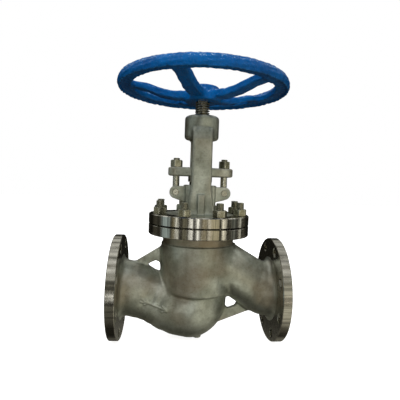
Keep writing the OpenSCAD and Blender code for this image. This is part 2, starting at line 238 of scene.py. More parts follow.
def wheel_paint():
    """Glossy blue paint under a wrinkled clear film, with painted shade in the folds, painted highlights on
    sharp edges and painted glints, standing for the lamps overhead, on fold ridges where the surface faces
    up.
    """
    m = Material("wheel_paint")
    clouds = m.noise(18.0, 3.0)
    folds = m.noise(95.0, 5.0, 0.72, (1.0, 1.0, 0.7))
    fine = m.noise(330.0, 3.0, 0.7)
    colour = m.ramp(clouds, [(0.3, (0.000, 0.090, 0.34)), (0.7, (0.000, 0.145, 0.49))])
    shade = m.ramp(folds, [(0.38, 0.84), (0.55, 1.0)])
    # Painted highlight: sharp edges, found by pointiness, are mixed towards a pale blue.
    lip = m.ramp(m.node("ShaderNodeNewGeometry").outputs["Pointiness"], [(0.52, 0.0), (0.60, 0.55)])
    colour = m.mix("MULTIPLY", 1.0, colour, shade)
    # Painted glint: pale blue-white spots where fold ridges and fine noise meet, only on surfaces that face
    # up.
    facing = m.node("ShaderNodeSeparateXYZ")
    m.link(m.node("ShaderNodeNewGeometry").outputs["Normal"], facing.inputs[0])
    up = m.ramp(facing.outputs["Z"], [(0.25, 0.02), (0.55, 1.0)])
    ridge = m.ramp(folds, [(0.46, 0.0), (0.50, 1.0), (0.54, 0.0)])
    painted_glint = m.mix("MULTIPLY", 1.0, ridge, m.ramp(fine, [(0.50, 0.0), (0.62, 1.0)]))
    painted_glint = m.mix("MULTIPLY", 1.0, painted_glint, up)
    colour = m.mix("MIX", lip, colour, (0.06, 0.28, 0.60))
    colour = m.mix("MIX", painted_glint, colour, (0.50, 0.78, 1.0))
    rough = m.ramp(fine, [(0.3, 0.12), (0.7, 0.26)])
    normal = m.bump(folds, 0.6, 0.0040)
    normal = m.bump(fine, 0.25, 0.0005, normal)
    m.fixed(Metallic=0.0, Specular_IOR_Level=0.2)
    return m.finish(colour, rough, normal)


def graphite():
    """Pressed graphite, dark and matt, with fine fibres."""
    m = Material("graphite")
    fibre = m.noise(700.0, 3.0, 0.6, (1.0, 1.0, 4.0))
    colour = m.ramp(fibre, [(0.3, 0.012), (0.7, 0.05)])
    rough = m.ramp(fibre, [(0.3, 0.5), (0.7, 0.7)])
    m.fixed(Metallic=0.0)
    return m.finish(colour, rough, m.bump(fibre, 0.4, 0.0003))


# ---------------------------------------------------------------- fields

def blend_min(a, b, k):
    """The union of two fields with a fillet of about k."""
    h = np.maximum(k - np.abs(a - b), 0.0) / k
    return np.minimum(a, b) - h * h * k * 0.25


def blend_max(a, b, k):
    return -blend_min(-a, -b, k)


def rod(x, y, z, a, b, ra, rb):
    """A round bar from a to b in the plane y = 0, its radius going from ra to rb, with ball ends."""
    dx, dz = b[0] - a[0], b[1] - a[1]
    t = np.clip(((x - a[0]) * dx + (z - a[1]) * dz) / (dx * dx + dz * dz), 0.0, 1.0)
    return np.sqrt((x - a[0] - t * dx) ** 2 + (z - a[1] - t * dz) ** 2 + y * y) - (ra + (rb - ra) * t)


def swept(x, y, z, stations):
    """A pipe through stations of (x, z, radius)."""
    field = None
    for (x0, z0, r0), (x1, z1, r1) in zip(stations, stations[1:]):
        part = rod(x, y, z, (x0, z0), (x1, z1), r0, r1)
        field = part if field is None else np.minimum(field, part)
    return field


def outline(u, v, points):
    """Signed distance to a closed outline in the plane of u and v."""
    nearest, sign = None, 1.0
    for (u0, v0), (u1, v1) in zip(points, points[1:] + points[:1]):
        du, dv = u1 - u0, v1 - v0
        t = np.clip(((u - u0) * du + (v - v0) * dv) / (du * du + dv * dv), 0.0, 1.0)
        gap = (u - u0 - t * du) ** 2 + (v - v0 - t * dv) ** 2
        nearest = gap if nearest is None else np.minimum(nearest, gap)
        crosses = (v0 > v) != (v1 > v)
        left = u < u0 + (v - v0) * du / (dv if dv else 1e-9)
        sign = sign * np.where(crosses & left, -1.0, 1.0)
    return sign * np.sqrt(nearest)


def line_gap(u, v, a, b):
    du, dv = b[0] - a[0], b[1] - a[1]
    t = np.clip(((u - a[0]) * du + (v - a[1]) * dv) / (du * du + dv * dv), 0.0, 1.0)
    return np.hypot(u - a[0] - t * du, v - a[1] - t * dv)


def net(field, lo, hi, step):
    """The surface where field(x, y, z) is zero, as vertices and quads, by the surface-net method."""
    counts = [int(math.ceil((h - l) / step)) + 1 for l, h in zip(lo, hi)]
    axes = [l + step * np.arange(n) for l, n in zip(lo, counts)]
    x, y, z = np.ix_(*axes)
    value = np.ascontiguousarray(np.broadcast_to(field(x, y, z), counts)).astype(np.float32)
    inside = value < 0
    corners = [(i, j, k) for i in (0, 1) for j in (0, 1) for k in (0, 1)]
    total = sum(inside[i:counts[0] - 1 + i, j:counts[1] - 1 + j, k:counts[2] - 1 + k].astype(np.int8)
                for i, j, k in corners)
    active = (total > 0) & (total < 8)
    cells = np.argwhere(active)
    index = np.full(active.shape, -1, np.int64)
    index[active] = np.arange(len(cells))
    spot, count = np.zeros((len(cells), 3)), np.zeros(len(cells))
    for a in corners:
        for axis in range(3):
            if a[axis]:
                continue
            b = tuple(1 if n == axis else a[n] for n in range(3))
            fa, fb = value[tuple((cells + a).T)], value[tuple((cells + b).T)]
            crossing = (fa < 0) != (fb < 0)
            t = np.where(crossing, fa / np.where(fa == fb, 1.0, fa - fb), 0.0)
            place = np.array(a, float) + t[:, None] * (np.array(b) - np.array(a))
            spot += place * crossing[:, None]
            count += crossing
    points = np.array(lo) + step * (cells + spot / count[:, None])
    quads = []
    for axis in range(3):
        u, v = (axis + 1) % 3, (axis + 2) % 3
        near, far = [slice(None)] * 3, [slice(None)] * 3
        near[axis], far[axis] = slice(0, -1), slice(1, None)
        near[u] = near[v] = far[u] = far[v] = slice(1, -1)
        first, second = inside[tuple(near)], inside[tuple(far)]
        for change, order in ((first & ~second, (0, 1, 2, 3)), (~first & second, (3, 2, 1, 0))):
            edge = np.argwhere(change)
            edge[:, u] += 1
            edge[:, v] += 1
            ring = []
            for du, dv in ((-1, -1), (0, -1), (0, 0), (-1, 0)):
                cell = edge.copy()
                cell[:, u] += du
                cell[:, v] += dv
                ring.append(index[tuple(cell.T)])
            quads.append(np.stack([ring[n] for n in order], 1))
    quads = np.concatenate(quads)
    for _ in range(2):  # move each vertex on to the true surface
        here = field(*points.T)
        h = 0.2
        slope = np.stack([(field(*(points + h * d).T) - field(*(points - h * d).T)) / (2 * h)
                          for d in np.eye(3)], 1)
        size = np.maximum((slope ** 2).sum(1), 0.25)
        points -= np.clip(here / size, -step, step)[:, None] * slope
    return points, quads


# ---------------------------------------------------------------- meshes

def make(name, points, faces, material, body, slot, replaces, sharp=None):
    """A piece from points in millimetres, riding on a body and standing for CAD nodes."""
    mesh = bpy.data.meshes.new(name)
    points = (np.asarray(points, float) + (STEM_X, 0.0, 0.0)) * MM
    mesh.from_pydata(points.tolist(), [], faces.tolist() if isinstance(faces, np.ndarray) else faces)
    mesh.validate()
    mesh.materials.append(material)
    mesh.polygons.foreach_set("use_smooth", [True] * len(mesh.polygons))
    if sharp:
        mesh.set_sharp_from_angle(angle=math.radians(sharp))
    piece = bpy.data.objects.new(name, mesh)
    bpy.context.scene.collection.objects.link(piece)
    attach(piece, body)
    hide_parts(*replaces)
    return piece


def join(parts):
    """One list of points and faces from several."""
    points, faces, start = [], [], 0
    for some_points, some_faces in parts:
        points.extend(map(tuple, some_points))
        faces.extend([tuple(int(i) + start for i in face) for face in some_faces])
        start += len(some_points)
    return np.array(points), faces


def moved(part, shift=(0, 0, 0), turn=None):
    points, faces = part
    points = np.asarray(points, float)
    if turn is not None:
        points = points @ np.array(turn.to_3x3()).T
    return points + np.asarray(shift, float), faces


def turned(profile, segments=96, shape=None, closed=True):
    """Turns a closed outline of (radius, z) round the z axis. shape(radius, z, angle) may change a radius."""
    angles = np.arange(segments) * 2 * math.pi / segments
    points, faces = [], []
    for r, z in profile:
        radius = np.full(segments, float(r)) if shape is None else shape(r, z, angles)
        points.append(np.stack([radius * np.cos(angles), radius * np.sin(angles), np.full(segments, z)], 1))
    points = np.concatenate(points)
    rings = len(profile)
    for a in range(rings if closed else rings - 1):
        b = (a + 1) % rings
        for i in range(segments):
            j = (i + 1) % segments
            faces.append((a * segments + i, a * segments + j, b * segments + j, b * segments + i))
    if not closed:
        faces.append(tuple(range(segments))[::-1])
        faces.append(tuple((rings - 1) * segments + i for i in range(segments)))
    return points, faces


def hexagon(across_flats, crown):
    """A shape for turned(): a hexagon of that size whose corners are cut off by the crown cone."""
    def shape(r, z, angles):
        flat = across_flats / 2 / np.cos((angles % (math.pi / 3)) - math.pi / 6)
        return np.minimum(flat, crown(z)) if r < 0 else np.full(len(angles), float(r))
    return shape


def hex_nut(z, height, across_flats, bore_r):
    """A chamfered hexagon nut standing on z."""
    corner = across_flats / math.sqrt(3)
    face_r = across_flats / 2 * 0.95

    def crown(level):
        return face_r + min(level - z, z + height - level) / math.tan(math.radians(30))
    rise = (corner - face_r) * math.tan(math.radians(30))
    levels = [rise * s for s in (0.0, 0.3, 0.6, 1.0)]
    levels += [height - s for s in reversed(levels)]
    profile = [(-1.0, z + level) for level in levels]
    profile += [(bore_r + 1.2, z + height), (bore_r, z + height - 1.2), (bore_r, z + 1.2), (bore_r + 1.2, z)]
    return turned(profile, 72, hexagon(across_flats, crown))


def threaded(z0, z1, r, pitch, depth, segments=32, chamfer=1.5, flat=0.36, per_pitch=10, fade=0.0):
    """A right-hand screw from z0 to z1 with a chamfered end."""
    rings = int((z1 - z0) / pitch * per_pitch)
    levels = np.linspace(z0, z1, rings + 1)
    def shape(_, level, angles):
        phase = (level / pitch - angles / (2 * math.pi)) % 1.0
        groove = np.clip((np.abs(phase - 0.5) - flat / 2) / (0.5 - flat), 0.0, 1.0)
        run_out = min(1.0, (level - z0) / fade) if fade else 1.0
        radius = r - depth * (1.0 - groove) * run_out
        return np.minimum(radius, r - chamfer + max(0.0, z1 - level))
    return turned([(r, level) for level in levels], segments, shape, closed=False)


def applied(piece):
    """Keeps what a piece's modifiers make as its mesh."""
    bpy.context.view_layer.update()
    shown = piece.evaluated_get(bpy.context.evaluated_depsgraph_get())
    mesh = bpy.data.meshes.new_from_object(shown)
    piece.modifiers.clear()
    piece.data = mesh


def cut(piece, part, sharp):
    """Cuts a solid, given as (points, faces), out of a piece."""
    points, faces = part
    mesh = bpy.data.meshes.new("cutter")
    mesh.from_pydata(((np.asarray(points) + (STEM_X, 0, 0)) * MM).tolist(), [], list(faces))
    cutter = bpy.data.objects.new("cutter", mesh)
    bpy.context.scene.collection.objects.link(cutter)
    modifier = piece.modifiers.new("cut", "BOOLEAN")
    modifier.operation, modifier.object, modifier.solver = "DIFFERENCE", cutter, "EXACT"
    applied(piece)
    bpy.data.objects.remove(cutter)
    piece.data.polygons.foreach_set("use_smooth", [True] * len(piece.data.polygons))
    piece.data.set_sharp_from_angle(angle=math.radians(sharp))


def along_x(part, side=1):
    """Lays a part that was turned about z along the pipe, its top towards side."""
    return moved(part, turn=Matrix.Rotation(math.radians(90 * side), 4, "Y"))


# ---------------------------------------------------------------- the body

CHAMBER_R = 76.5
WEB_HALF = 5.0
INLET = [(-170, 0, 56.5), (-150, -1, 56.5), (-135, -4, 56), (-120, -8.5, 55), (-105, -14, 53), (-90, -19, 53),
         (-76, -24, 55.5), (-55, -31, 60), (-35, -36.5, 62.5), (-13, -40, 63.2)]
OUTLET = [(40, 61, 48), (76, 38.5, 49), (104, 20.5, 50.5), (120, 11, 52), (132, 5, 54.5), (145, 1, 56.3),
          (170, 0, 56.5)]
INLET_BORE = [(-190, 0, 50), (-141, 0, 49.8), (-118, -9, 46.5), (-98, -19, 44), (-2, -38, 45)]
OUTLET_BORE = [(52, 53, 41), (118, 12, 42), (136, 3, 46), (150, 0, 49.8), (190, 0, 50)]
INLET_WEB = [(-137, 42), (-132, 52), (-128.8, 53.5), (-70, 91), (-66, 0), (-100, 0)]
INLET_WINDOW = [(-97.5, 46.5), (-87, 51.5), (-82.5, 49.5), (-81, 45), (-80, 24), (-84, 30), (-90, 40)]
OUTLET_WEB = [(28, -78), (46.6, -73.5), (118, -45.5), (118, -10), (60, 10), (20, -30)]
OUTLET_WINDOW = [(65, -33), (66, -22), (71, -20.5), (84, -28), (80, -34), (69, -38)]
ARROW = [((-101, -16.5), (-60.5, -31)), ((-69.5, -22.5), (-60.5, -31)), ((-70.5, -33.5), (-60.5, -31)),
         ((-109.3, -9.8), (-101, -16.5)), ((-111.5, -16), (-101, -16.5)),
         ((-103.3, -10.5), (-96, -18)), ((-105, -21), (-96, -18))]


def tube(x, y, z, r, z0, z1):
    """A round post on the stem's axis."""
    return np.maximum(np.hypot(x, y) - r, np.abs(z - (z0 + z1) / 2) - (z1 - z0) / 2)


def body_field(x, y, z):
    lip = -4.0 + 0.0012 * np.clip(x, -60, 60) ** 2
    chamber = blend_max(np.hypot(x, y) - CHAMBER_R, lip - z, 8.0)
    chamber = blend_max(chamber, z - 97.0, 2.5)
    waist = np.maximum(np.hypot(x * 66.5 / 62.5, y) - 66.5, z - 12.0)
    waist = blend_max(waist, np.sqrt(x * x + y * y + (z + 16.0) ** 2) - 67.0, 8.0)
    lower = blend_min(swept(x, y, z, INLET), waist, 16.0)
    shell = blend_min(lower, chamber, 6.0)
    wide = np.clip(0.70 + (x - 30.0) / 95.0 * 0.30, 0.70, 1.0)
    shell = blend_min(shell, swept(x, y * wide, z, OUTLET), 8.0)
    for web, window in ((INLET_WEB, INLET_WINDOW), (OUTLET_WEB, OUTLET_WINDOW)):
        plate = np.maximum(outline(x, z, web), 4.5 - outline(x, z, window))
        shell = blend_min(shell, blend_max(plate, np.abs(y) - WEB_HALF, 2.0), 5.0)
    for side in (-1, 1):
        back = np.maximum(np.abs(x * side - 162.0) - 6.4, np.hypot(y, z) - 84.0)
        shell = blend_min(shell, back, 16.0)
    shell = blend_min(shell, tube(x, y, z, 73.8, 90.0, 122.0), 1.0)
    groove = np.hypot(np.hypot(x, y) - 76.8, z - 98.4) - 2.9
    shell = np.maximum(shell, -groove)
    shell = blend_min(shell, blend_max(np.hypot(x - 4.0, y) - 9.2, np.abs(z + 98.0) - 9.2, 3.0), 4.0)
    inner = blend_min(swept(x, y, z, INLET_BORE), np.sqrt((x + 2) ** 2 + y * y + (z + 38) ** 2) - 56.0, 8.0)
    inner = np.minimum(inner, np.minimum(swept(x, y, z, OUTLET_BORE), tube(x, y, z, 64.0, 26.0, 140.0)))
    shell = blend_max(shell, -inner, 2.0)
    deck = np.minimum(tube(x, y, z, 58.0, 0.0, 28.0), tube(x, y, z, 68.0, 16.0, 24.0))
    seat = np.minimum(tube(x, y, z, 48.0, -28.0, 40.0), tube(x, y, z, 54.0, 19.0, 40.0))
    shell = np.maximum(np.minimum(shell, deck), -seat)
    arrow = None
    for a, b in ARROW:
        gap = line_gap(x, z, a, b)
        arrow = gap if arrow is None else np.minimum(arrow, gap)
    shell = shell - 1.8 * np.clip(1.6 - arrow / 1.3, 0.0, 1.0) * (y < 0)
    return np.maximum(shell, np.maximum(np.abs(x) - 160.0, z - 118.0))


def body_casting():
    step = 1.8
    points, quads = net(body_field, (-163, -88, -108), (163, 88, 120), step)
    return make("body_casting", points, quads, STEEL["cast"], "valve_body", "cast_steel", ["body"])


def bolt_cutters(count, pitch_r, hole_r, z0, z1):
    """Straight holes with small countersinks, straddling the axes."""
    profile = [(hole_r + 2.2, z0 - 1), (hole_r, z0 + 1.2), (hole_r, z1 - 1.2), (hole_r + 2.2, z1 + 1)]
    hole = turned(profile, 40, closed=False)
    turns = [2 * math.pi / count * (i + 0.5) for i in range(count)]
    return join([moved(hole, (pitch_r * math.cos(a), pitch_r * math.sin(a), 0)) for a in turns])


def end_flange(name, side):
    """A machined end flange: bevelled rim, serrated raised face and eight bolt holes."""
    profile = [(50.0, BACK_X), (FLANGE_R - 1.2, BACK_X), (FLANGE_R, BACK_X + 1.2), (FLANGE_R, FACE_X - 1.2),
               (FLANGE_R - 1.2, FACE_X), (78.6, FACE_X), (78.0, HALF_X - 0.3), (77.7, HALF_X)]
    for ridge in np.arange(75.0, 54.0, -1.5):
        profile += [(ridge, HALF_X), (ridge - 0.75, HALF_X - 0.35)]
    profile += [(53.0, HALF_X), (51.0, HALF_X), (50.0, HALF_X - 1.0)]
    piece = make(name, *along_x(turned(profile, 192), side), STEEL["rim_x"], "valve_body", "cast_steel",
                 ["body"], 22)
    holes = bolt_cutters(8, 90.0, 9.0, BACK_X, FACE_X)
    cut(piece, along_x(holes, side), 22)


def joint_flanges():
    """The two round flanges of the bonnet joint, with the body's recess and the bonnet's spigot."""
    lower = turned([(64, 115.0), (BONNET_R - 1, 115.0), (BONNET_R, 116.0), (BONNET_R, JOINT_Z - 1.2),
                    (BONNET_R - 0.8, JOINT_Z - 0.5), (79.1, JOINT_Z), (79.1, JOINT_Z - 4),
                    (64, JOINT_Z - 4)], 224)
    make("body_top_flange", *lower, STEEL["rim_z"], "valve_body", "cast_steel", ["body"], 22)
    base = JOINT_Z + GAP
    upper = turned([(60, JOINT_Z - 1), (79, JOINT_Z - 1), (79, base), (BONNET_R - 0.8, base + 0.3),
                    (BONNET_R, base + 1.0), (BONNET_R, BONNET_TOP - 1.6), (BONNET_R - 1.6, BONNET_TOP),
                    (34, BONNET_TOP), (34, 146)], 224)
    make("bonnet_flange", *upper, STEEL["rim_z"], "valve_body", "cast_steel", ["bonnet"], 22)


# ---------------------------------------------------------------- the bonnet

ARM = [(-31, 150), (31, 150), (28.5, 166), (25, 180), (20.6, 212), (20.2, 300), (20.2, 350), (-20.2, 350),
       (-20.2, 300), (-20.6, 212), (-25, 180), (-28.5, 166)]
SIDE = [(28.5, 150), (44.5, 150), (41.5, 168), (41.5, 308), (36.8, 326), (35.2, 350), (20, 350), (20, 312),
        (28.5, 304)]
LUG = [(26, 180), (49, 186), (57, 190), (60, 200), (50, 213.4), (26, 213.4)]


def bonnet_field(x, y, z):
    across, depth = np.abs(x), np.abs(y)
    box = blend_max(np.hypot(x, y) - 34.0, z - 216.0, 3.0)
    base = np.maximum(np.hypot(x, y) - 72.0, np.abs(z - 151.0) - 5.7)
    shell = blend_min(box, base, 14.0)
    arm = blend_max(outline(x, z, ARM), outline(depth, z, SIDE), 6.0)
    arm = blend_max(arm, z - 328.0, 7.0)
    arm = arm - 0.5 * np.exp(-((z - 266.0 - 0.04 * x) / 0.9) ** 2) * (depth > 38)
    shell = blend_min(shell, arm, 6.0)
    rib = blend_max(np.maximum(across - 6.6, depth - 50.5), np.abs(z - 174.0) - 24.0, 3.0)
    shell = blend_min(shell, np.maximum(rib, 32.0 - depth), 4.0)
    lug = np.minimum(outline(across, z, LUG), np.hypot(across - EYEBOLT_X, z - PIN_Z) - 13.2)
    lug = blend_max(lug, np.abs(depth - 11.5) - 3.5, 1.6)
    shell = blend_min(shell, lug, 3.5)
    core = np.maximum(across - 29.0, depth - 23.0)
    shell = blend_min(shell, np.maximum(core, np.abs(z - 190.0) - 23.4), 5.0)
    boss = blend_max(np.hypot(x, y) - 35.5, np.abs(z - 333.7) - 24.3, 8.0)
    shell = blend_min(shell, boss, 7.0)
    bore = np.minimum(tube(x, y, z, 20.0, 300.0, 380.0), tube(x, y, z, 22.0, 168.0, 230.0))
    shell = blend_max(shell, -bore, 1.2)
    eye = np.maximum(np.hypot(across - EYEBOLT_X, z - PIN_Z) - PIN_HOLE_R, depth - 20.0)
    screw = np.maximum(np.hypot(x - 22.0, y) - 4.0, 346.0 - z)
    return np.maximum(shell, -np.minimum(eye, screw))


def bonnet_casting():
    step = 1.3
    points, quads = net(bonnet_field, (-78, -78, 143), (78, 78, 361), step)
    return make("bonnet_casting", points, quads, STEEL["cast"], "valve_body", "cast_steel", ["bonnet"])


# ---------------------------------------------------------------- fasteners and gland

NUT_TURNS = (0, 41, 17, 52, 30, 28, 5, 12)  # degrees


def bonnet_bolting():
    """Eight studs with threaded ends and eight chamfered nuts, each turned a little differently."""
    studs, nuts = [], []
    stud = threaded(118.0, 183.5, 7.9, 2.0, 1.1, 32, 1.3, per_pitch=8)
    nut = hex_nut(BONNET_TOP, 14.0, 24.0, 8.0)
    for i in range(8):
        a = 2 * math.pi / 8 * (i + 0.5)
        spot = (STUD_CIRCLE_R * math.cos(a), STUD_CIRCLE_R * math.sin(a), 0)
        turn = Matrix.Rotation(math.radians(NUT_TURNS[i]), 4, "Z")
        nuts.append(moved(moved(nut, turn=turn), spot))
        studs.append(moved(moved(stud, turn=turn), spot))
    make("bonnet_nuts_detail", *join(nuts), STEEL["bolt"], "valve_body", "bolting", ["bonnet_nuts"], 25)
    make("bonnet_studs_detail", *join(studs), STEEL["bolt"], "valve_body", "bolting", ["bonnet_studs"], 40)


def gland_field(x, y, z):
    across = np.abs(x)
    plan = np.minimum(np.hypot(x, y) - 26.5, rod_2d(across, y))
    plan = np.maximum(plan, 15.4 - np.hypot(x, y))
    slot = np.minimum(np.hypot(across - EYEBOLT_X, y) - 7.6, np.maximum(np.abs(y) - 7.6, EYEBOLT_X - across))
    return blend_max(blend_max(plan, -slot, 1.5), np.abs(z - 242.9) - 9.1, 4.0)


def rod_2d(u, v):
    """A bar whose half width narrows from 26.5 at the stem to 18 at the eyebolt."""
    t = np.clip(u / 51.0, 0.0, 1.0)
    return (np.hypot(u - t * 51.0, v) - (26.5 - 8.5 * t)) * 0.98


def gland():
    """The gland flange, the eyebolts that pull it down and their nuts."""
    step = 1.0
    points, quads = net(gland_field, (-70, -30, 232), (70, 30, 256), step)
    make("gland_flange_casting", points, quads, STEEL["cast"], "gland", "cast_steel", ["gland_flange"])
    for side, name in ((-1, "left"), (1, "right")):
        spot = (EYEBOLT_X * side, 0, 0)
        eye = turned([(PIN_HOLE_R, -6.4), (11.0, -6.4), (12.0, -5.4), (12.0, 5.4), (11.0, 6.4),
                      (PIN_HOLE_R, 6.4)], 64)
        eye = moved(moved(eye, turn=Matrix.Rotation(math.radians(90), 4, "X")), (0, 0, PIN_Z))
        shank = turned([(6.9, 209.0), (6.9, 244.0)], 40, closed=False)
        screw = threaded(243.5, 271.0, 6.95, 2.0, 1.0, 32, 1.2, per_pitch=8)
        bolt = moved(join([eye, shank, screw]), spot)
        make("eyebolt_" + name + "_detail", *bolt, STEEL["bolt"], "valve_body", "bolting",
             ["eyebolt_" + name], 35)
        turn = Matrix.Rotation(math.radians(12 if side < 0 else 25), 4, "Z")
        nut = moved(hex_nut(252.0, 15.0, 22.0, 7.0), turn=turn)
        node = "gland_nut_" + name
        make(node + "_detail", *moved(nut, spot), STEEL["bolt"], node, "bolting", [node], 25)


# ---------------------------------------------------------------- stem and handwheel

def stem():
    """A plain shank, then a trapezoidal right-hand screw of 5 mm pitch, then the square and threaded end."""
    shank = turned([(17, 56.0), (17, 64.0), (14, 64.2), (14, 266.0)], 64, closed=False)
    screw = threaded(265.0, 387.0, 15.0, 5.0, 3.9, 64, 0.0, 0.30, 20, fade=6.0)
    square = turned([(-1, 386.0), (-1, 405.0)], 48, square_end(9.7), closed=False)
    end = threaded(404.5, 419.0, 9.9, 2.5, 1.3, 32, 1.5, per_pitch=8)
    make("stem_detail", *join([shank, screw, square, end]), STEEL["stem"], "stem", "stem_steel",
         ["stem"], 35)


def square_end(half):
    """A shape for turned(): a square bar of that half width."""
    def shape(r, z, angles):
        return half / np.maximum(np.abs(np.cos(angles)), np.abs(np.sin(angles)))
    return shape


RIM = [(170.8, 408.8), (173.1, 415), (171.9, 422), (168.3, 427.6), (163.3, 430.0), (155.5, 430.0),
       (150, 426.8), (146.5, 420.5), (148.0, 412.5), (155, 410.5), (163, 408.8)]
SPOKE = [(20, 391.5), (58, 391.5), (88, 396.5), (118, 407.5), (148, 413.5), (158, 413.5), (158, 426),
         (146, 426), (116, 421.5), (88, 412.5), (60, 407.5), (20, 409)]
SPOKE_COUNT = 5
SPOKE_TURN = math.radians(-22 - 90)


def wheel_field(x, y, z):
    radius = np.hypot(x, y)
    angle = np.arctan2(y, x)
    rim = outline(radius, z, RIM) - 1.6
    under = np.hypot((radius - 159.5) / 1.75, z - 408.0) - 5.2
    field = blend_max(rim, -under, 1.2)
    for i in range(SPOKE_COUNT):
        a = SPOKE_TURN + 2 * math.pi / SPOKE_COUNT * i
        along = x * math.cos(a) + y * math.sin(a)
        beside = np.abs(y * math.cos(a) - x * math.sin(a))
        width = 14.6 + 1.4 * np.clip((45.0 - along) / 25.0, 0.0, 1.0)
        spoke = blend_max(np.maximum(outline(along, z, SPOKE), -along), beside - width, 4.5)
        field = blend_min(field, spoke, 7.0)
    hub = blend_max(radius - 38.0, np.abs(z - 395.5) - 8.5, 4.0)
    hub = blend_min(hub, blend_max(radius - 34.0, np.abs(z - 408.0) - 10.5, 5.0), 4.0)
    field = blend_min(field, hub, 6.0)
    bore = np.minimum(np.maximum(radius - 20.0, 403.0 - z), radius - 13.85)
    field = blend_max(field, -bore, 1.0)
    wrinkle = np.sin(angle * 23 + z * 0.31) * np.sin(angle * 41 - z * 0.47 + radius * 0.2)
    wrinkle = wrinkle + 0.6 * np.sin(angle * 67 + z * 0.9 - radius * 0.35) * np.sin(z * 0.55 + angle * 13)
    return field + 0.45 * wrinkle * (radius > 45) + 0.35


def handwheel():
    step = 1.7
    points, quads = net(wheel_field, (-178, -178, 384), (178, 178, 434), step)
    make("handwheel_casting", points, quads, STEEL["paint"], "stem", "wheel_paint", ["handwheel"])


# ---------------------------------------------------------------- scene

def dress_cad():
    """Materials for the CAD nodes that stay in view."""
    finishes = {"turned": ("seat_ring", "back_seat_bush", "packing_washer", "gland_follower", "disc",
                           "disc_cover", "wheel_washer"),
                "graphite": ("bonnet_gasket", "packing_rings"),
                "bronze": ("yoke_nut",),
                "bolt": ("yoke_nut_screw", "wheel_nut", "eyebolt_pin_left", "eyebolt_pin_right")}
    pairs = [(node, key) for key, nodes in finishes.items() for node in nodes]
    for node, key in pairs:
        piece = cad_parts[node]
        if not piece.material_slots:
            piece.data.materials.append(None)
        for slot in piece.material_slots:
            slot.link = "OBJECT"
            slot.material = STEEL[key]
        bevel = piece.modifiers.new("edge", "BEVEL")
        bevel.width, bevel.segments, bevel.limit_method = 0.0004, 2, "ANGLE"


def camera():
    """A long look along +Y from a little above the flanges and left of the stem."""
    data = bpy.data.cameras.new("camera")
    data.sensor_width, data.lens, data.clip_end = 36.0, 31.98, 50.0
    data.shift_x = 0.006
    yaw, pitch, roll = (math.radians(a) for a in (4.07, 2.57, 2.0))
    ahead = Vector((math.sin(yaw) * math.cos(pitch), math.cos(yaw) * math.cos(pitch), -math.sin(pitch)))
    right = Vector((math.cos(yaw), -math.sin(yaw), 0.0))
    up = right.cross(ahead)
    tilted_right = right * math.cos(roll) + up * math.sin(roll)
    tilted_up = up * math.cos(roll) - right * math.sin(roll)
    eye = bpy.data.objects.new("camera", data)
    bpy.context.scene.collection.objects.link(eye)
    turn = Matrix((tilted_right, tilted_up, -ahead)).transposed()
    eye.matrix_world = Matrix.Translation(((STEM_X - 56.56) * MM, -0.74373, 0.21839)) @ turn.to_4x4()
    bpy.context.scene.camera = eye


def area_light(name, place, target, size, power):
    data = bpy.data.lights.new(name, "AREA")
    data.shape, data.size, data.size_y = "RECTANGLE", size[0], size[1]
    data.energy = power
    lamp = bpy.data.objects.new(name, data)
    bpy.context.scene.collection.objects.link(lamp)
    lamp.location = place
    lamp.rotation_euler = (Vector(target) - Vector(place)).to_track_quat("-Z", "Y").to_euler()
    return lamp


